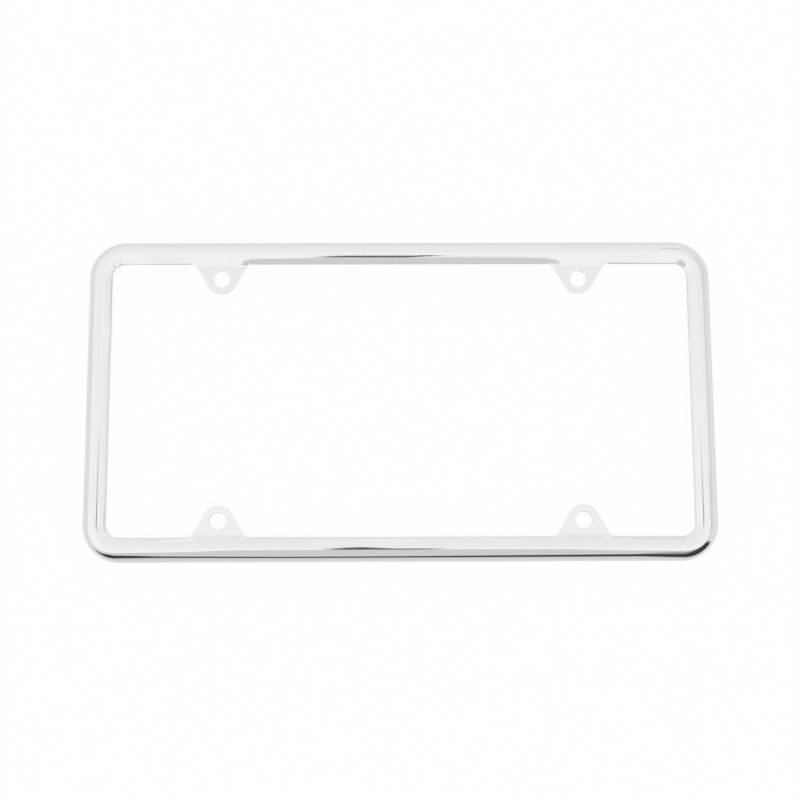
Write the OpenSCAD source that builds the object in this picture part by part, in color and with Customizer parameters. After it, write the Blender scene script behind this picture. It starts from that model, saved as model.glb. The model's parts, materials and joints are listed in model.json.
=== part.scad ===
/* [Frame] */
// Overall width along the long side, over the outer walls
frame_w = 310.4; // [260:0.1:540]
// Overall height along the short side, over the outer walls
frame_h = 160; // [110:0.1:220]
// Overall depth from the back rim to the crest of the rail
frame_d = 8; // [7.2:0.1:14]
// Outer radius of the four corners
corner_r = 18.2; // [15:0.1:30]

/* [Rail section] */
// Width of the rail seen from the front, from the window edge to the outer wall
rail_w = 11.9; // [10:0.1:14]
// Thickness of the sheet
sheet_t = 0.8; // [0.5:0.05:1.2]
// Outside radius of the shoulder between the crest and the outer wall
shoulder_r = 6; // [4:0.1:7]
// Slope of the inner flank where it reaches the window edge, in degrees
flank_angle = 46; // [35:1:60]

/* [Tabs] */
// Depth of the tabs' front face below the crest of the rail
tab_drop = 2.1; // [1.2:0.1:3]
// Inside radius of the bend between the inner flank and a tab
bend_r = 1; // [0.5:0.1:2.5]
// Distance from the window edge in to the line where the bend ends and the tab's flat face starts
bend_in = 1.2; // [0.5:0.1:2.5]
// Radius of a tab's round end, about its bolt hole
tip_r = 7.6; // [6:0.1:10]
// Angle between a tab's sides and its own centre line, in degrees
side_angle = 30; // [10:1:40]
// Radius of the fillets where a tab's sides run into the window edge
root_r = 2; // [0.5:0.1:5]

/* [Bolt holes] */
// Distance from the centre of a bolt hole to the frame's short side
hole_inset_x = 66.3; // [50:0.1:110]
// Distance from the centre of a bolt hole to the frame's long side
hole_inset_y = 19.675; // [17:0.025:30]
// Diameter of a bolt hole
hole_d = 8.2; // [5:0.1:9]

/* [Hidden] */
// The opening of the frame, the arc of its corners, and the centre of the corner in the first quarter
window_w = frame_w - 2 * rail_w;
window_h = frame_h - 2 * rail_w;
window_r = corner_r - rail_w;
corner_x = window_w / 2 - window_r;
corner_y = window_h / 2 - window_r;

// The bolt holes lie this far from the frame's middle along the long side.
hole_x = frame_w / 2 - hole_inset_x;

// The section's place u runs outwards from the window edge and its height z up from the back rim.
// Two arcs meet at the crest: the shoulder's quarter circle, and the flatter arc of the inner flank,
// whose radius brings the rounded edge of the sheet out at the window edge.
crest_u = rail_w - shoulder_r;
shoulder_z = frame_d - shoulder_r;
edge_r = sheet_t / 2;
flank_mid_r = (crest_u - edge_r) / sin(flank_angle);
flank_r = flank_mid_r + edge_r;
flank_z = frame_d - flank_r;

// Where a tab leaves the rail, the flank runs on straight from its arc to the bend. The slope of that
// run comes from the line between the centres of the two arcs, which both touch it.
tab_z = frame_d - tab_drop;
both_r = flank_r + bend_r;
centres = [crest_u + bend_in, both_r - tab_drop];
tab_slope = atan2(centres.x, centres.y) - acos(both_r / norm(centres));

// A tab's outline: its hole lies this far inside the window edge, and its sides touch the round end.
hole_in = hole_inset_y - rail_w;
root_half_w = (tip_r + hole_in * sin(side_angle)) / cos(side_angle);
root_run = root_r * tan(45 - side_angle / 2);
root_end = root_half_w + root_run;

// Half of the stretch of rail that carries a tab, brought up to a whole tenth of a millimetre
tab_half_w = ceil(10 * root_end) / 10;

// Degrees between two points of an arc, along the rail's section and round the edge of the sheet
section_step = 7.5;
edge_step = 36;

// Past both faces of whatever a tool cuts
overcut = 1;

$fn = 128;

// The points of an arc after its first, set out from the first so that equal arcs share their points
function arc(centre, r, from, to, step = section_step) =
    let (count = ceil(abs(to - from) / step), way = sign(to - from))
    [for (i = [1 : count]) let (a = i < count ? from + way * i * step : to) centre + r * [cos(a), sin(a)]];

function reversed(points) = [for (i = [len(points) - 1 : -1 : 0]) points[i]];

// A line through the sheet at one depth below its front face, up the outer wall and over the shoulder
// to the crest. Depth 0 is the front of the sheet and depth sheet_t its back.
function wall_line(depth) = concat(
    [[rail_w - depth, 0], [rail_w - depth, shoulder_z]],
    arc([crest_u, shoulder_z], shoulder_r - depth, 0, 90)
);

// The same line down the inner flank to the given slope
function flank_line(depth, slope) = arc([crest_u, flank_z], flank_r - depth, 90, 90 + slope);

// The same line from the start of the bend, through it and out flat past the end of the tab
function tab_line(depth) =
    let (centre = [-bend_in, tab_z + bend_r], start = 270 + tab_slope)
    concat(
        [centre + (bend_r + depth) * [cos(start), sin(start)]],
        arc(centre, bend_r + depth, start, 270),
        [[-hole_in - tip_r - overcut, tab_z - depth]]
    );

// The rail: an open channel whose inner flank ends in the rounded edge of the sheet
module rail_section() {
    edge = [crest_u, flank_z] + flank_mid_r * [cos(90 + flank_angle), sin(90 + flank_angle)];
    polygon(concat(
        wall_line(0),
        flank_line(0, flank_angle),
        arc(edge, edge_r, 90 + flank_angle, 270 + flank_angle, edge_step),
        reversed(concat(wall_line(sheet_t), flank_line(sheet_t, flank_angle)))
    ));
}

// The rail where a tab leaves it: the flank runs straight to the bend, and the tab goes on flat
module tab_section() {
    polygon(concat(
        wall_line(0),
        flank_line(0, tab_slope),
        tab_line(0),
        reversed(concat(wall_line(sheet_t), flank_line(sheet_t, tab_slope), tab_line(sheet_t)))
    ));
}

// Lays a section out along X, with the window edge on the X axis and the outer wall towards +Y
module run(length) {
    rotate([90, 0, 90])
        linear_extrude(length, center = true)
            children();
}

// The piece of rail behind a tab and the tab itself, seen from the front, about the tab's centre line
module tab_outline() {
    side = [root_half_w - root_run * sin(side_angle), -root_run * cos(side_angle)];
    touch = [tip_r * cos(side_angle), -hole_in - tip_r * sin(side_angle)];
    half = [[tab_half_w, rail_w + overcut], [tab_half_w, 0], [root_end, 0], [root_end, -root_r], side, touch];
    mirrored = [for (point = reversed(half)) [-point.x, point.y]];
    difference() {
        union() {
            polygon(concat(half, mirrored));
            translate([0, -hole_in])
                circle(r = tip_r);
        }
        for (way = [-1, 1])
            translate([way * root_end, -root_r])
                circle(r = root_r);
    }
}

// One tab with its stretch of rail and its bolt hole
module tab_length() {
    difference() {
        intersection() {
            run(2 * tab_half_w)
                tab_section();
            translate([0, 0, -overcut])
                linear_extrude(frame_d + 2 * overcut)
                    tab_outline();
        }
        translate([0, -hole_in, tab_z - sheet_t - overcut])
            cylinder(d = hole_d, h = sheet_t + 2 * overcut);
    }
}

// A long rail: the plain run, opened at each tab for the tab's own stretch
module long_rail() {
    difference() {
        run(2 * corner_x)
            rail_section();
        for (way = [-1, 1])
            translate([way * hole_x, rail_w / 2, frame_d / 2])
                cube([2 * tab_half_w, rail_w + 2 * overcut, frame_d + 2 * overcut], center = true);
    }
    for (way = [-1, 1])
        translate([way * hole_x, 0, 0])
            tab_length();
}

// The rail swept round one corner, about the centre of the window's corner arc
module corner() {
    rotate_extrude(angle = 90)
        translate([window_r, 0])
            rail_section();
}

// The whole frame, one stamped and plated sheet
module plate_frame() {
    color("gainsboro") {
        for (turn = [0, 180])
            rotate(turn)
                translate([0, window_h / 2, 0])
                    long_rail();
        for (turn = [90, 270])
            rotate(turn)
                translate([0, window_w / 2, 0])
                    run(2 * corner_y)
                        rail_section();
        for (flip_x = [0, 1], flip_y = [0, 1])
            mirror([flip_x, 0, 0])
                mirror([0, flip_y, 0])
                    translate([corner_x, corner_y, 0])
                        corner();
    }
}

plate_frame();
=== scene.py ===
import json
import math

import bmesh
import bpy
from bpy.props import FloatProperty, FloatVectorProperty, IntProperty, PointerProperty
from bpy.types import Operator, Panel, PropertyGroup
from mathutils import Euler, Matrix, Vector


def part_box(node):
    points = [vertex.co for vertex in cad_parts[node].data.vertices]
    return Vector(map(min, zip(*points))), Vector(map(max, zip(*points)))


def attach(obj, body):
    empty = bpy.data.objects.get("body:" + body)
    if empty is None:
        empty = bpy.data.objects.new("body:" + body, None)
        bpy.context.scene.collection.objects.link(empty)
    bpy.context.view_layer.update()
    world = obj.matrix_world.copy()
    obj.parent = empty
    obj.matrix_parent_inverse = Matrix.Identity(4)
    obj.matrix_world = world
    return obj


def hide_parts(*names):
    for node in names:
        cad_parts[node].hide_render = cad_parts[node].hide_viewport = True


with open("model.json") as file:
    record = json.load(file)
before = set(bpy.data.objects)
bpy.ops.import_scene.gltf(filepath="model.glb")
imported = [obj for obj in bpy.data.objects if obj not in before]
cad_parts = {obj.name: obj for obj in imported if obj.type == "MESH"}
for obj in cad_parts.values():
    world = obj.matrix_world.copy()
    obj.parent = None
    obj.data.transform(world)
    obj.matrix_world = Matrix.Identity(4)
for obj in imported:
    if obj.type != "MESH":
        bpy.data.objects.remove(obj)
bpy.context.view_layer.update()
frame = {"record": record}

bl_info = {
    "name": "Number plate holder",
    "version": (1, 0, 0),
    "blender": (4, 5, 0),
    "location": "View3D > Sidebar > Plate holder",
    "description": "Models a chromed number plate holder and the studio that it is shown in",
    "category": "Add Mesh",
}

NODE = "plate_frame"
BODY = "root"
SLOT = "chrome"

FRAME_LOW, FRAME_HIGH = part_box(NODE)
PLATED = next(m for m in frame["record"]["materials"] if m["slot"] == SLOT)
BOLTS = next(m["dims"] for m in frame["record"]["mounts"] if m["name"] == "plate_bolts")
MM = 0.001

# How far two places may differ and still count as the same one
SAME = 1e-6

X_AXIS = (1, 0, 0)
Z_AXIS = (0, 0, 1)

# The boards in front of the holder, cut to shape: places along X, and the board's lower and upper
# edge there, all in millimetres
DARK_BOARD = [
    (-183, 2, 9), (-176, 3, 12), (-170, 3, 14), (-155, 4, 27), (-140, 9, 27), (-120, 11, 20),
    (-60, 8, 15), (0, 8, 16), (60, 9, 20), (120, 10, 24), (140, 4, 24), (155, 1, 32), (170, 1, 43),
    (190, 1, 50), (208, 1, 60)]
DUSK_BOARD = [
    (120, 10, 26), (140, 4, 43), (155, 1, 47), (170, 1, 54), (190, 1, 58), (208, 1, 72), (222, 1, 81)]
GREY_BOARD = [
    (-206, 0, 3), (-170, 0, 42), (-150, 0, 60), (-122, 0, 72), (-110, 0, 90), (-104, 0, 250),
    (-75, 0, 275), (-40, 0, 312), (40, 0, 320), (75, 0, 280), (98, 0, 255), (105, 0, 200),
    (110, 0, 100), (122, 0, 84), (150, 0, 66), (170, 0, 54), (200, 0, 26), (220, 0, 4)]
MIST_BOARD = [
    (20, 318, 320), (45, 315, 470), (75, 275, 480), (98, 250, 430), (108, 130, 300), (112, 96, 160)]

# Each board stands this much farther from the holder than the one before it
BOARD_STEP = 0.5 * MM

# How a card stands: flat overhead, upright at the front or back, or upright at a side
FLAT = (0, 0, 0)
UPRIGHT = (math.pi / 2, 0, 0)
SIDEWAYS = (0, math.pi / 2, 0)

# The cards round the holder: name, grey, middle, size, turn and number of corners, with lengths in
# millimetres and turns in radians. The screens keep what is overhead out of the holder's back corners.
CARDS = [
    ("overhead_card", 0.15, (-15, -113, 520), (87, 167), (0, 0, -0.19), 4),
    ("side_card", 0.8, (310, 180, 120), (140, 640), SIDEWAYS, 4),
    ("overhead_arm", 0.1, (-30, -3.5, 520), (69, 147), FLAT, 3),
    ("left_screen", 1, (-128, 53, 67), (20, 44), FLAT, 4),
    ("right_screen", 1, (124.5, 53, 67), (21, 44), FLAT, 4),
    ("low_screen", 1, (-122.5, 41, 39), (21, 42), UPRIGHT, 4),
    ("back_screen", 0.98, (-20, 62, 249), (60, 402), UPRIGHT, 4),
    ("left_card", 0.85, (-600, 0, 130), (260, 2000), SIDEWAYS, 4),
    ("near_strip", 0.4, (309, -45, 200), (30, 70), SIDEWAYS, 4),
    ("corner_strip", 0.5, (185, 115, 83), (100, 12), (math.pi / 2, 0, -math.pi / 4), 4),
    ("back_strip", 0.925, (0, 235, 284), (700, 60), UPRIGHT, 4),
    ("low_back_strip", 0.905, (0, 235, 100), (700, 30), UPRIGHT, 4),
]

# Size of the floor, and how far it lies below the holder's back rim
FLOOR_SIZE = 6
FLOOR_DROP = 0.05 * MM

# Width of the camera's sensor, in millimetres
SENSOR_WIDTH = 36


class PlateFrameSizes(PropertyGroup):
    """The holder itself: one rolled rail round a window, and four tabs with bolt holes"""

    width: FloatProperty(
        name="Width", description="Over the outer walls, along the long side",
        default=FRAME_HIGH.x - FRAME_LOW.x, unit="LENGTH")
    height: FloatProperty(
        name="Height", description="Over the outer walls, along the short side",
        default=FRAME_HIGH.y - FRAME_LOW.y, unit="LENGTH")
    depth: FloatProperty(
        name="Depth", description="From the back rim to the crest of the rail",
        default=FRAME_HIGH.z - FRAME_LOW.z, unit="LENGTH")
    corner: FloatProperty(
        name="Corner radius", description="Outer radius of the four corners",
        default=18.2 * MM, unit="LENGTH")
    rail: FloatProperty(
        name="Rail width", description="From the window edge to the outer wall, seen from the front",
        default=11.9 * MM, unit="LENGTH")
    sheet: FloatProperty(
        name="Sheet thickness", description="Thickness of the stamped sheet",
        default=0.8 * MM, unit="LENGTH")
    shoulder: FloatProperty(
        name="Shoulder radius", description="Outside radius between the crest and the outer wall",
        default=6 * MM, unit="LENGTH")
    flank_angle: FloatProperty(
        name="Flank slope", description="Slope of the inner flank where it reaches the window edge",
        default=math.radians(46), subtype="ANGLE")
    edge_round: FloatProperty(
        name="Edge rounding", description="Radius on the cut edges of the sheet",
        default=0.3 * MM, unit="LENGTH")
    tab_drop: FloatProperty(
        name="Tab depth", description="Depth of the tabs' front face below the crest of the rail",
        default=2.1 * MM, unit="LENGTH")
    bend: FloatProperty(
        name="Bend radius", description="Radius of the bend between the flank and a tab",
        default=1 * MM, unit="LENGTH")
    bend_in: FloatProperty(
        name="Bend place", description="Distance from the window edge in to the end of the bend",
        default=1.2 * MM, unit="LENGTH")
    tip: FloatProperty(
        name="Tip radius", description="Radius of a tab's round end, about its bolt hole",
        default=7.6 * MM, unit="LENGTH")
    side_angle: FloatProperty(
        name="Side angle", description="Angle between a tab's sides and its own centre line",
        default=math.radians(30), subtype="ANGLE")
    root: FloatProperty(
        name="Root radius", description="Fillets where a tab's sides run into the window edge",
        default=2 * MM, unit="LENGTH")
    run_in: FloatProperty(
        name="Run-in", description="Length of rail over which the flank turns into a tab's bend",
        default=1.5 * MM, unit="LENGTH")
    blend: FloatProperty(
        name="Blend", description="Length at either end of a tab's root that leans towards the plain rail",
        default=6 * MM, unit="LENGTH")
    blend_share: FloatProperty(
        name="Blend share", description="How much of the way to the plain rail's section it comes",
        default=0.5, min=0, max=1)
    hole_x: FloatProperty(
        name="Hole X", description="Distance of the bolt holes from the middle, along the long side",
        default=BOLTS["spacing_x_mm"] / 2 * MM, unit="LENGTH")
    hole_y: FloatProperty(
        name="Hole Y", description="Distance of the bolt holes from the middle, along the short side",
        default=BOLTS["spacing_y_mm"] / 2 * MM, unit="LENGTH")
    hole: FloatProperty(
        name="Hole radius", description="Radius of a bolt hole",
        default=BOLTS["hole_r_mm"] * MM, unit="LENGTH")
    shoulder_steps: IntProperty(
        name="Shoulder steps", description="Faces across the shoulder's quarter circle", default=24, min=4)
    flank_steps: IntProperty(
        name="Flank steps", description="Faces across the inner flank", default=14, min=3)
    corner_steps: IntProperty(
        name="Corner steps", description="Faces round one corner", default=36, min=4)
    tab_steps: IntProperty(
        name="Tab steps", description="Faces across a tab's root", default=48, min=6)


class PlatingFinish(PropertyGroup):
    """The bright chrome plating"""

    colour: FloatVectorProperty(
        name="Colour", description="Colour of the plating", subtype="COLOR",
        default=(PLATED["base_color"][1],) * 3, min=0, max=1)
    roughness: FloatProperty(
        name="Roughness", description="Softness of the reflections", default=0.06, min=0, max=1)
    ripple: FloatProperty(
        name="Ripple", description="Height of the slow waves that stamping leaves in the sheet",
        default=0.02 * MM, unit="LENGTH", precision=6)
    ripple_scale: FloatProperty(
        name="Ripple scale", description="Waves in a metre of sheet", default=30)
    haze_scale: FloatProperty(
        name="Haze scale", description="Hazy spots in a metre of sheet", default=160)


class StudioSettings(PropertyGroup):
    """The camera, the white room round the holder and the boards in front of it"""

    eye: FloatVectorProperty(
        name="Eye", description="Place of the camera", subtype="TRANSLATION", unit="LENGTH",
        default=(-6.5 * MM, -121.1 * MM, 725 * MM))
    turn: FloatVectorProperty(
        name="Turn", description="Turn of the camera from looking straight down", subtype="EULER",
        default=(math.radians(9.492), math.radians(-0.497), math.radians(-0.244)))
    lens: FloatProperty(
        name="Lens", description="Focal length in millimetres", default=66.6)
    sky: FloatProperty(
        name="Light", description="Brightness of the white room overhead", default=1.03, min=0)
    lean: FloatProperty(
        name="Lean", description="How much darker the room grows towards the back and the right",
        default=0.25)
    lean_limit: FloatProperty(
        name="Lean limit", description="How far towards the back the room goes on growing darker",
        default=0.25, min=0)
    lean_right: FloatProperty(
        name="Lean right", description="Share of the lean that goes to the right", default=0.12)
    fall: FloatProperty(
        name="Fall", description="How much darker the room is low down", default=0.07)
    floor: FloatProperty(
        name="Floor", description="Brightness of the floor in the plating, far from the holder",
        default=0.8, min=0)
    # Painted light: the floor's emission in the plating is raised beside the holder
    glow: FloatProperty(
        name="Glow", description="How much brighter the floor is beside the holder", default=0.1, min=0)
    glow_reach: FloatProperty(
        name="Glow reach", description="Distance from the holder at which half of the glow is left",
        default=30 * MM, unit="LENGTH")
    # Painted shade: the floor's emission in the plating is lowered in front of the holder
    dim: FloatProperty(
        name="Dimming", description="How much darker the floor is in front of the holder",
        default=0.14, min=0)
    dim_reach: FloatProperty(
        name="Dimming reach", description="Distance from the holder at which half of the dimming is there",
        default=2 * MM, unit="LENGTH")
    paper: FloatProperty(
        name="Paper", description="Grey of the paper where the room's light falls on it",
        default=0.9, min=0, max=1)
    whiteness: FloatProperty(
        name="Whiteness", description="Share of plain white in the floor, over its own shading",
        default=0.95, min=0, max=1)
    board_y: FloatProperty(
        name="Boards", description="Place of the boards in front of the holder",
        default=-103 * MM, unit="LENGTH")
    dark: FloatProperty(
        name="Dark board", description="Grey of the low board", default=0.05, min=0, max=1)
    dusk: FloatProperty(
        name="Dusk board", description="Grey of the board that shows past the dark one",
        default=0.41, min=0, max=1)
    grey: FloatProperty(
        name="Grey board", description="Grey of the tall board behind both", default=0.71, min=0, max=1)
    mist: FloatProperty(
        name="Mist board", description="Grey of the pale board that shows past the tall one",
        default=0.86, min=0, max=1)


class Value:
    """A socket of a shader tree that takes part in arithmetic, each step of it a Math node."""

    def __init__(self, tree, socket):
        self.tree = tree
        self.socket = socket

    def join(self, operation, first, second):
        """Adds a Math node that joins two numbers or Values."""
        return self.tree.add("ShaderNodeMath", {0: first, 1: second}, operation=operation)

    def __add__(self, other):
        return self.join("ADD", self, other)

    def __radd__(self, other):
        return self.join("ADD", other, self)

    def __sub__(self, other):
        return self.join("SUBTRACT", self, other)

    def __rsub__(self, other):
        return self.join("SUBTRACT", other, self)

    def __mul__(self, other):
        return self.join("MULTIPLY", self, other)

    def __rmul__(self, other):
        return self.join("MULTIPLY", other, self)

    def __truediv__(self, other):
        return self.join("DIVIDE", self, other)

    def __rtruediv__(self, other):
        return self.join("DIVIDE", other, self)

    def size(self):
        return self.tree.add("ShaderNodeMath", {0: self}, operation="ABSOLUTE")

    def larger(self, other):
        return self.join("MAXIMUM", self, other)

    def smaller(self, other):
        return self.join("MINIMUM", self, other)


class Tree:
    """The node tree of a material or of the world, emptied and built again."""

    def __init__(self, owner):
        owner.use_nodes = True
        self.nodes = owner.node_tree.nodes
        self.links = owner.node_tree.links
        self.nodes.clear()

    def add(self, kind, sockets=None, output=0, **settings):
        """Adds a node, sets it, fills its sockets with numbers or Values, and returns one output."""
        node = self.nodes.new(kind)
        for name, setting in settings.items():
            setattr(node, name, setting)
        for name, filling in (sockets or {}).items():
            if isinstance(filling, Value):
                self.links.new(filling.socket, node.inputs[name])
            else:
                node.inputs[name].default_value = filling
        return Value(self, node.outputs[output]) if node.outputs else None


def opaque(red, green, blue):
    """A colour with its alpha, as colour sockets take it."""
    return red, green, blue, 1.0


def choose(*pieces):
    """Selects these pieces and no others, and makes the first one active."""
    bpy.ops.object.select_all(action="DESELECT")
    for piece in pieces:
        piece.select_set(True)
    bpy.context.view_layer.objects.active = pieces[0]


def settle(name, scale=(1, 1, 1)):
    """Names and scales the shape that was just added, and applies its place, turn and scale."""
    piece = bpy.context.object
    piece.name = name
    piece.scale = scale
    bpy.ops.object.transform_apply(location=True, rotation=True, scale=True)
    return piece


def edit(piece):
    """Opens one piece alone for editing, with nothing selected in it."""
    choose(piece)
    bpy.ops.object.mode_set(mode="EDIT")
    bpy.ops.mesh.select_all(action="DESELECT")


def pick(piece, mode, test):
    """Selects the vertices, or the edges with both ends, that pass the test, and nothing else."""
    bpy.ops.mesh.select_mode(type=mode)
    bpy.ops.mesh.select_all(action="DESELECT")
    mesh = bmesh.from_edit_mesh(piece.data)
    if mode == "VERT":
        found = [v for v in mesh.verts if test(v.co)]
    else:
        found = [e for e in mesh.edges if all(test(v.co) for v in e.verts)]
    if not found:
        raise RuntimeError("nothing of " + piece.name + " lies where the next step works")
    for element in found:
        element.select = True
    mesh.select_flush_mode()
    bmesh.update_edit_mesh(piece.data)


def near(first, second):
    """Tells whether two places along an axis are the same one."""
    return abs(first - second) < SAME


def spin(angle, centre, axis, steps):
    """Sweeps the selection round an axis. The operator counts its angle the other way round."""
    bpy.ops.mesh.spin(steps=steps, angle=-angle, center=centre, axis=axis)


def finish_with(piece, kind, **settings):
    """Adds a modifier to the piece and applies it."""
    modifier = piece.modifiers.new(kind.title(), kind)
    for name, setting in settings.items():
        setattr(modifier, name, setting)
    choose(piece)
    bpy.ops.object.modifier_apply(modifier=modifier.name)


def grid(name, low, high, columns):
    """A flat strip standing on the outer wall's line, from low to high, as the start of a rail."""
    bpy.ops.object.select_all(action="DESELECT")
    bpy.ops.mesh.primitive_grid_add(
        x_subdivisions=columns, y_subdivisions=1, size=1,
        location=((low.x + high.x) / 2, high.y, (low.z + high.z) / 2), rotation=(-math.pi / 2, 0, 0))
    return settle(name, (high.x - low.x, high.z - low.z, 1))


class Section:
    """Where the parts of the rolled section lie, worked out from the sizes. Its place y counts from
    the middle of the holder and its height z from the back rim."""

    def __init__(self, sizes):
        half_edge = sizes.sheet / 2
        self.outer = sizes.height / 2
        self.window = self.outer - sizes.rail
        self.crest = self.outer - sizes.shoulder
        self.shoulder_z = sizes.depth - sizes.shoulder
        crest_u = sizes.rail - sizes.shoulder
        self.flank_r = (crest_u - half_edge) / math.sin(sizes.flank_angle) + half_edge
        self.flank_z = sizes.depth - self.flank_r
        self.tab_z = sizes.depth - sizes.tab_drop
        self.bend_y = self.window - sizes.bend_in
        self.bend_z = self.tab_z + sizes.bend
        # The slope of the straight run that touches both the flank's arc and the bend's
        both = self.flank_r + sizes.bend
        across, up = self.crest - self.bend_y, both - sizes.tab_drop
        self.slope = math.atan2(across, up) - math.acos(both / math.hypot(across, up))
        # The flank goes on by half the sheet's thickness, so that its rounded edge ends at the window
        self.flank_end = sizes.flank_angle + half_edge / self.flank_r
        self.corner_y = self.window - (sizes.corner - sizes.rail)
        self.corner_x = sizes.width / 2 - sizes.corner
        self.hole_in = self.window - sizes.hole_y
        sine, cosine = math.sin(sizes.side_angle), math.cos(sizes.side_angle)
        self.root_half = (sizes.tip + self.hole_in * sine) / cosine
        self.root_run = sizes.root * math.tan(math.pi / 4 - sizes.side_angle / 2)
        self.root_end = self.root_half + self.root_run

    def half_width(self, sizes, depth):
        """Half the width of a tab, this deep below the window edge: the fillet, and then the side."""
        if depth < self.root_run * math.cos(sizes.side_angle):
            rise = sizes.root - depth
            return self.root_end - math.sqrt(sizes.root ** 2 - rise ** 2)
        return self.root_half - depth * math.tan(sizes.side_angle)

    def tab_height(self, sizes, depth):
        """Height of a tab's face, this deep below the window edge: the straight run, then the bend."""
        left, bend_run = sizes.bend_in - depth, sizes.bend * math.sin(self.slope)
        if left > bend_run:
            bend_top = self.bend_z - sizes.bend * math.cos(self.slope)
            return bend_top + (left - bend_run) * math.tan(self.slope)
        return self.bend_z - math.sqrt(sizes.bend ** 2 - left ** 2)

    def flank_gap(self, sizes, share):
        """A row of a tab's straight run, this share of the way down to the window edge: its depth, and
        the way from there to the same row of the plain flank."""
        depth = (share - 1) * (self.crest - self.flank_r * math.sin(self.slope) - self.window)
        angle = self.slope + share * (self.flank_end - self.slope)
        way = Vector((0, -math.sin(angle), math.cos(angle)))
        flank = Vector((0, self.crest, self.flank_z)) + self.flank_r * way
        return depth, flank - Vector((0, self.window - depth, self.tab_height(sizes, depth)))


def roll_rail(piece, sizes, section, steps):
    """Spins the top edge of a flat strip over the shoulder and down the flank to a tab's slope."""
    pick(piece, "EDGE", lambda p: near(p.z, section.shoulder_z))
    spin(math.pi / 2, (0, section.crest, section.shoulder_z), X_AXIS, sizes.shoulder_steps)
    spin(section.slope, (0, section.crest, section.flank_z), X_AXIS, steps)


def plain_rail(name, sizes, section, start, end, steps, last_steps):
    """A stretch of rail whose flank runs on to the window edge."""
    piece = grid(name, Vector((start, 0, 0)), Vector((end, section.outer, section.shoulder_z)), 1)
    edit(piece)
    roll_rail(piece, sizes, section, steps)
    centre = (0, section.crest, section.flank_z)
    spin(section.flank_end - section.slope, centre, X_AXIS, last_steps)
    bpy.ops.object.mode_set(mode="OBJECT")
    return piece


def run_on(section, step):
    """Takes the selected row on down the straight run that leads to a tab."""
    way = (0, -step, -step * math.tan(section.slope))
    bpy.ops.mesh.extrude_edges_move(TRANSFORM_OT_translate={"value": way})


def narrow(sizes, section, before, depth):
    """Draws the selected row in from a tab's width at one depth to its width at the next."""
    share = section.half_width(sizes, depth) / section.half_width(sizes, before)
    bpy.ops.transform.resize(value=(share, 1, 1), center_override=(sizes.hole_x, 0, 0))
    return depth


def tab_rail(name, sizes, section, steps, last_steps):
    """The stretch of rail that carries a tab, and the tab itself with its bolt hole."""
    middle = sizes.hole_x
    low = Vector((middle - section.root_end, 0, 0))
    high = Vector((middle + section.root_end, section.outer, section.shoulder_z))
    piece = grid(name, low, high, sizes.tab_steps)
    edit(piece)
    roll_rail(piece, sizes, section, steps)
    start = section.crest - section.flank_r * math.sin(section.slope)
    rows = []
    for row in range(1, last_steps + 1):
        run_on(section, (start - section.window) / last_steps)
        rows.append(section.flank_gap(sizes, row / last_steps))
    depth, straight_rows, bend_rows = 0, 2, 4
    window_gap = rows[-1][1]
    straight = sizes.bend_in - sizes.bend * math.sin(section.slope)
    for _ in range(straight_rows):
        run_on(section, straight / straight_rows)
        depth = narrow(sizes, section, depth, depth + straight / straight_rows)
        rows.append((depth, window_gap * (1 - depth / sizes.bend_in) ** 2))
    for row in range(1, bend_rows + 1):
        spin(-section.slope / bend_rows, (0, section.bend_y, section.bend_z), X_AXIS, 1)
        left = section.slope * (1 - row / bend_rows)
        depth = narrow(sizes, section, depth, sizes.bend_in - sizes.bend * math.sin(left))
        rows.append((depth, window_gap * (1 - depth / sizes.bend_in) ** 2))
    add_tip(piece, sizes, section)
    meet_plain_rail(piece, sizes, section, rows[:-1])
    bpy.ops.object.mode_set(mode="OBJECT")
    return piece


def meet_plain_rail(piece, sizes, section, rows):
    """Draws both ends of a tab's stretch down towards the plain flank beside them, row by row."""
    columns = sizes.tab_steps // 2
    blended = math.ceil(columns * sizes.blend / section.root_end)
    for depth, gap in rows:
        y, z = section.window - depth, section.tab_height(sizes, depth)
        half = section.half_width(sizes, max(depth, 0))
        for column in range(blended):
            x, share = half * (1 - column / columns), 1 - column / blended

            def in_both_columns(p):
                return near(abs(p.x - sizes.hole_x), x) and near(p.y, y) and near(p.z, z)

            pick(piece, "VERT", in_both_columns)
            pull = sizes.blend_share * share * share * (3 - 2 * share)
            bpy.ops.transform.translate(value=pull * gap)


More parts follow.
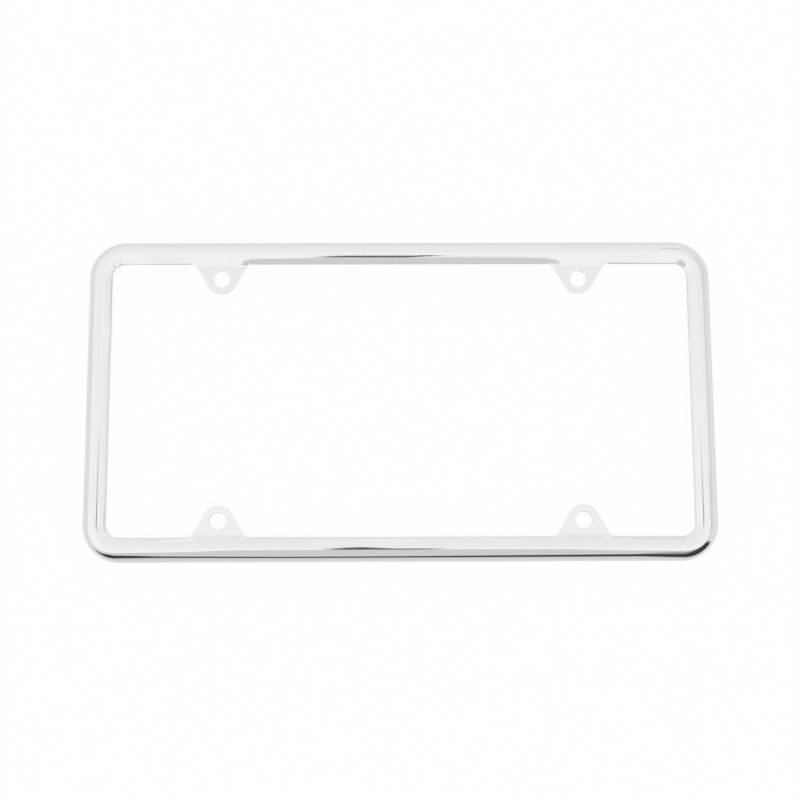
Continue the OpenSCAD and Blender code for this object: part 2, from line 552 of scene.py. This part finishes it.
def add_tip(piece, sizes, section):
    """Draws the flat part of a tab from the end of its bend: sides, round tip and bolt hole."""
    middle = Vector((sizes.hole_x, sizes.hole_y, section.tab_z))
    end_y = section.bend_y
    root = section.half_width(sizes, section.window - end_y)
    cosine, sine = math.cos(sizes.side_angle), math.sin(sizes.side_angle)
    touch = Vector((sizes.tip * cosine, -sizes.tip * sine, 0))
    start = Vector((sizes.hole_x + root, end_y, section.tab_z))
    pick(piece, "VERT", lambda p: (p - start).length < SAME)
    bpy.ops.mesh.extrude_vertices_move(TRANSFORM_OT_translate={"value": middle + touch - start})
    tip_steps = 16
    spin(2 * sizes.side_angle - math.pi, middle, Z_AXIS, tip_steps)
    stop = Vector((sizes.hole_x - root, end_y, section.tab_z))
    mirrored = middle + Vector((-touch.x, touch.y, 0))
    bpy.ops.mesh.extrude_vertices_move(TRANSFORM_OT_translate={"value": stop - mirrored})
    bpy.ops.mesh.select_all(action="SELECT")
    bpy.ops.mesh.remove_doubles(threshold=SAME)

    def on_side(p):
        return near(p.z, section.tab_z) and p.y > middle.y + touch.y - SAME and p.y < end_y + SAME

    pick(piece, "EDGE", on_side)
    mesh = bmesh.from_edit_mesh(piece.data)
    for edge in mesh.edges:
        if edge.select and edge.link_faces:
            edge.select = False
    bmesh.update_edit_mesh(piece.data)
    side_cuts = 7
    bpy.ops.mesh.subdivide(number_cuts=side_cuts)
    around = sizes.tab_steps + tip_steps + 2 * (side_cuts + 1)
    # The bridge takes its winding from the faces beside it, and untwists only with the rail turned over
    bpy.ops.mesh.select_all(action="SELECT")
    bpy.ops.mesh.flip_normals()
    bpy.ops.mesh.select_all(action="DESELECT")
    bpy.ops.mesh.primitive_circle_add(vertices=around, radius=sizes.hole, location=middle)
    pick(piece, "EDGE", lambda p: near(p.z, section.tab_z) and p.y < end_y + SAME)
    rings = 2
    bpy.ops.mesh.bridge_edge_loops(number_cuts=rings, interpolation="LINEAR")


def bridge(piece, first, second):
    """Joins the open ends of two stretches of rail with a stretch that turns one into the other."""
    pick(piece, "EDGE", lambda p: near(p.x, first))
    mesh = bmesh.from_edit_mesh(piece.data)
    for edge in mesh.edges:
        if all(near(v.co.x, second) for v in edge.verts) and len(edge.link_faces) < 2:
            edge.select = True
    mesh.select_flush_mode()
    bmesh.update_edit_mesh(piece.data)
    run_in_cuts = 7
    bpy.ops.mesh.bridge_edge_loops(number_cuts=run_in_cuts, interpolation="LINEAR")


def sweep_corner(piece, sizes, section):
    """Takes the rail's open end round the corner and down to the middle of the short side."""
    pick(piece, "EDGE", lambda p: near(p.x, section.corner_x))
    centre = (section.corner_x, section.corner_y, 0)
    spin(-math.pi / 2, centre, Z_AXIS, sizes.corner_steps)
    bpy.ops.mesh.extrude_edges_move(TRANSFORM_OT_translate={"value": (0, -section.corner_y, 0)})


def model_frame(sizes):
    """Models one quarter of the holder's front face and mirrors it, then gives it its thickness."""
    section = Section(sizes)
    flank_share = section.slope / section.flank_end
    steps = round(sizes.flank_steps * flank_share)
    last_steps = sizes.flank_steps - steps
    tab_start = sizes.hole_x - section.root_end
    tab_end = sizes.hole_x + section.root_end
    pieces = [
        plain_rail("chrome_plate_frame", sizes, section, 0, tab_start - sizes.run_in, steps, last_steps),
        tab_rail("tab", sizes, section, steps, last_steps),
        plain_rail("end", sizes, section, tab_end + sizes.run_in, section.corner_x, steps, last_steps),
    ]
    choose(*pieces)
    bpy.ops.object.join()
    piece = pieces[0]
    edit(piece)
    bridge(piece, tab_start - sizes.run_in, tab_start)
    bridge(piece, tab_end + sizes.run_in, tab_end)
    sweep_corner(piece, sizes, section)
    bpy.ops.object.mode_set(mode="OBJECT")
    finish_with(piece, "MIRROR", use_axis=(True, True, False), merge_threshold=SAME)
    edit(piece)
    bpy.ops.mesh.select_all(action="SELECT")
    bpy.ops.mesh.remove_doubles(threshold=SAME)
    bpy.ops.mesh.normals_make_consistent(inside=False)
    bpy.ops.object.mode_set(mode="OBJECT")
    first = piece.data.polygons[0]
    if first.center.dot(first.normal) < 0:
        edit(piece)
        bpy.ops.mesh.select_all(action="SELECT")
        bpy.ops.mesh.flip_normals()
        bpy.ops.object.mode_set(mode="OBJECT")
    finish_with(piece, "SOLIDIFY", thickness=sizes.sheet, offset=-1, use_even_offset=True)
    finish_with(
        piece, "BEVEL", width=sizes.edge_round, segments=3, limit_method="ANGLE",
        angle_limit=math.radians(60), use_clamp_overlap=False)
    bpy.ops.object.shade_smooth()
    finish_with(piece, "WEIGHTED_NORMAL", weight=90)
    return piece


def chrome(finish):
    """Bright plating: a mirror with the slow ripple of stamped sheet and a faint haze in places."""
    material = bpy.data.materials.new("bright_chrome")
    tree = Tree(material)
    place = tree.add("ShaderNodeTexCoord", output="Object")
    ripple = tree.add("ShaderNodeTexNoise", {"Vector": place, "Scale": finish.ripple_scale, "Detail": 1.0})
    haze = tree.add("ShaderNodeTexNoise", {"Vector": place, "Scale": finish.haze_scale, "Detail": 3.0})
    bump = tree.add("ShaderNodeBump", {"Height": ripple * finish.ripple, "Distance": 1.0, "Strength": 1.0})
    # Where the haze is thickest the colour keeps this share, and where it is thinnest the roughness does
    dull_share, smooth_share = 0.97, 0.5
    dull = [dull_share * part for part in finish.colour]
    colour = tree.add(
        "ShaderNodeMix", {"Factor": haze, "A": opaque(*finish.colour), "B": opaque(*dull)}, "Result",
        data_type="RGBA")
    shader = tree.add("ShaderNodeBsdfPrincipled", {
        "Base Color": colour, "Metallic": 1.0, "Roughness": finish.roughness * (haze + smooth_share),
        "Normal": bump})
    tree.add("ShaderNodeOutputMaterial", {"Surface": shader})
    return material


class PLATEFRAME_OT_holder(Operator):
    """Model the chromed holder: rolled rail, four tabs and their bolt holes"""

    bl_idname = "plateframe.holder"
    bl_label = "Plate holder"
    bl_options = {"REGISTER", "UNDO"}

    def execute(self, context):
        piece = model_frame(context.scene.plate_frame_sizes)
        piece.data.materials.clear()
        piece.data.materials.append(chrome(context.scene.plating_finish))
        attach(piece, BODY)
        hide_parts(NODE)
        return {"FINISHED"}


def pale_floor(studio):
    """White paper: it shows white to the camera and keeps the holder's shadow. In the plating it shows an
    emission with painted light, brightest beside the holder, and painted shade, darker in front of it."""
    material = bpy.data.materials.new("white_paper")
    tree = Tree(material)
    place = tree.add("ShaderNodeTexCoord", output="Object")
    along = tree.add("ShaderNodeSeparateXYZ", {"Vector": place}, "X").size()
    across = tree.add("ShaderNodeSeparateXYZ", {"Vector": place}, "Y")
    away = (along - FRAME_HIGH.x).larger(across.size() - FRAME_HIGH.y).larger(0.0)
    # How far in front of the holder a place lies: the reach of the painted shade
    front = (FRAME_LOW.y - across).larger(0.0)
    # Painted light: a pool of brightness painted into the floor's emission beside the holder, fading with
    # distance
    beside = studio.glow / (1 + away / studio.glow_reach)
    # The floor's emission in the plating: the plain floor, plus the painted light beside the holder, less
    # the painted shade in front
    bright = studio.floor + beside - studio.dim * front / (front + studio.dim_reach)
    camera = tree.add("ShaderNodeLightPath", output="Is Camera Ray")
    glossy = tree.add("ShaderNodeLightPath", output="Is Glossy Ray")
    through = tree.add("ShaderNodeLightPath", output="Is Transmission Ray")
    paper = tree.add("ShaderNodeBsdfDiffuse", {"Color": opaque(studio.paper, studio.paper, studio.paper)})
    white = tree.add("ShaderNodeEmission", {"Color": opaque(1, 1, 1), "Strength": 1.0})
    pale = tree.add("ShaderNodeEmission", {"Color": opaque(1, 1, 1), "Strength": bright})
    seen = tree.add("ShaderNodeMixShader", {0: glossy, 1: white, 2: pale})
    share = studio.whiteness * camera.larger(glossy).larger(through)
    both = tree.add("ShaderNodeMixShader", {0: share, 1: paper, 2: seen})
    tree.add("ShaderNodeOutputMaterial", {"Surface": both})
    return material


def white_room(studio):
    """The world: white light from all round, a little darker at the back, at the right and low down."""
    world = bpy.data.worlds.new("white_room")
    tree = Tree(world)
    way = tree.add("ShaderNodeTexCoord", output="Generated")
    right, back, height = (tree.add("ShaderNodeSeparateXYZ", {"Vector": way}, axis) for axis in "XYZ")
    low = 1 - height
    leaning = back.larger(0).smaller(studio.lean_limit) + studio.lean_right * right
    light = studio.sky - studio.lean * leaning - studio.fall * low * low
    background = tree.add("ShaderNodeBackground", {"Color": opaque(1, 1, 1), "Strength": light})
    tree.add("ShaderNodeOutputWorld", {"Surface": background})
    bpy.context.scene.world = world


def show_in_plating(piece, grey):
    """Gives a card or a board its grey, and lets it show in the plating alone."""
    material = bpy.data.materials.new(piece.name)
    tree = Tree(material)
    glow = tree.add("ShaderNodeEmission", {"Color": opaque(grey, grey, grey), "Strength": 1.0})
    tree.add("ShaderNodeOutputMaterial", {"Surface": glow})
    piece.data.materials.append(material)
    piece.visible_camera = False
    piece.visible_diffuse = False
    piece.visible_shadow = False


def card(name, grey, middle, size, turn, corners):
    """A plain card: a rectangle, or with three corners a triangle that points to the back."""
    place = [part * MM for part in middle]
    bpy.ops.object.select_all(action="DESELECT")
    if corners == 4:
        bpy.ops.mesh.primitive_plane_add(size=1, location=place, rotation=turn)
    else:
        bpy.ops.mesh.primitive_circle_add(
            vertices=corners, radius=0.5, fill_type="NGON", location=place, rotation=turn)
    show_in_plating(settle(name, (*[part * MM for part in size], 1)), grey)


def board(name, grey, place, posts):
    """An upright board, with its lower and upper edges cut from post to post. It starts as a grid well
    off to the side, one column to a post, and the columns then move to their posts."""
    aside = 10
    bpy.ops.object.select_all(action="DESELECT")
    bpy.ops.mesh.primitive_grid_add(
        x_subdivisions=len(posts) - 1, y_subdivisions=1, size=1,
        location=(aside + 0.5, place, 0.5), rotation=UPRIGHT)
    piece = settle(name)
    edit(piece)
    for number, (x, low, high) in enumerate(posts):
        start = aside + number / (len(posts) - 1)
        for height, edge in ((0, low), (1, high)):
            pick(piece, "VERT", lambda p: near(p.x, start) and near(p.z, height))
            bpy.ops.transform.translate(value=(x * MM - start, 0, edge * MM - height))
    bpy.ops.object.mode_set(mode="OBJECT")
    show_in_plating(piece, grey)


class PLATEFRAME_OT_studio(Operator):
    """Set up the white floor, the light, the cards and boards that the plating mirrors, and the camera"""

    bl_idname = "plateframe.studio"
    bl_label = "Studio"
    bl_options = {"REGISTER", "UNDO"}

    def execute(self, context):
        studio = context.scene.studio_settings
        bpy.ops.object.select_all(action="DESELECT")
        bpy.ops.mesh.primitive_plane_add(size=FLOOR_SIZE, location=(0, 0, -FLOOR_DROP))
        floor = settle("floor")
        floor.data.materials.append(pale_floor(studio))
        white_room(studio)
        for row in CARDS:
            card(*row)
        boards = [
            ("dark_board", studio.dark, DARK_BOARD), ("dusk_board", studio.dusk, DUSK_BOARD),
            ("grey_board", studio.grey, GREY_BOARD), ("mist_board", studio.mist, MIST_BOARD)]
        for number, (name, grey, posts) in enumerate(boards):
            board(name, grey, studio.board_y - number * BOARD_STEP, posts)
        context.scene.view_settings.view_transform = "Standard"
        bpy.ops.object.camera_add(location=studio.eye)
        camera = context.object
        camera.rotation_mode = "ZXY"
        camera.rotation_euler = Euler(studio.turn, "ZXY")
        camera.data.lens = studio.lens
        camera.data.sensor_width = SENSOR_WIDTH
        context.scene.camera = camera
        return {"FINISHED"}


class PLATEFRAME_PT_panel(Panel):
    """Sizes, finish and studio of the number plate holder"""

    bl_idname = "PLATEFRAME_PT_panel"
    bl_label = "Number plate holder"
    bl_space_type = "VIEW_3D"
    bl_region_type = "UI"
    bl_category = "Plate holder"

    def draw(self, context):
        for operator in OPERATORS:
            self.layout.operator(operator.bl_idname)
        for name, group in GROUPS.items():
            box = self.layout.box()
            for setting in group.__annotations__:
                box.prop(getattr(context.scene, name), setting)


GROUPS = {
    "plate_frame_sizes": PlateFrameSizes,
    "plating_finish": PlatingFinish,
    "studio_settings": StudioSettings,
}
OPERATORS = [PLATEFRAME_OT_holder, PLATEFRAME_OT_studio]


def register():
    for name, group in GROUPS.items():
        bpy.utils.register_class(group)
        setattr(bpy.types.Scene, name, PointerProperty(type=group))
    for part in [*OPERATORS, PLATEFRAME_PT_panel]:
        bpy.utils.register_class(part)


def unregister():
    for part in [PLATEFRAME_PT_panel, *reversed(OPERATORS)]:
        bpy.utils.unregister_class(part)
    for name, group in reversed(GROUPS.items()):
        delattr(bpy.types.Scene, name)
        bpy.utils.unregister_class(group)


def main():
    register()
    bpy.ops.plateframe.holder()
    bpy.ops.plateframe.studio()


if __name__ == "__main__":
    main()
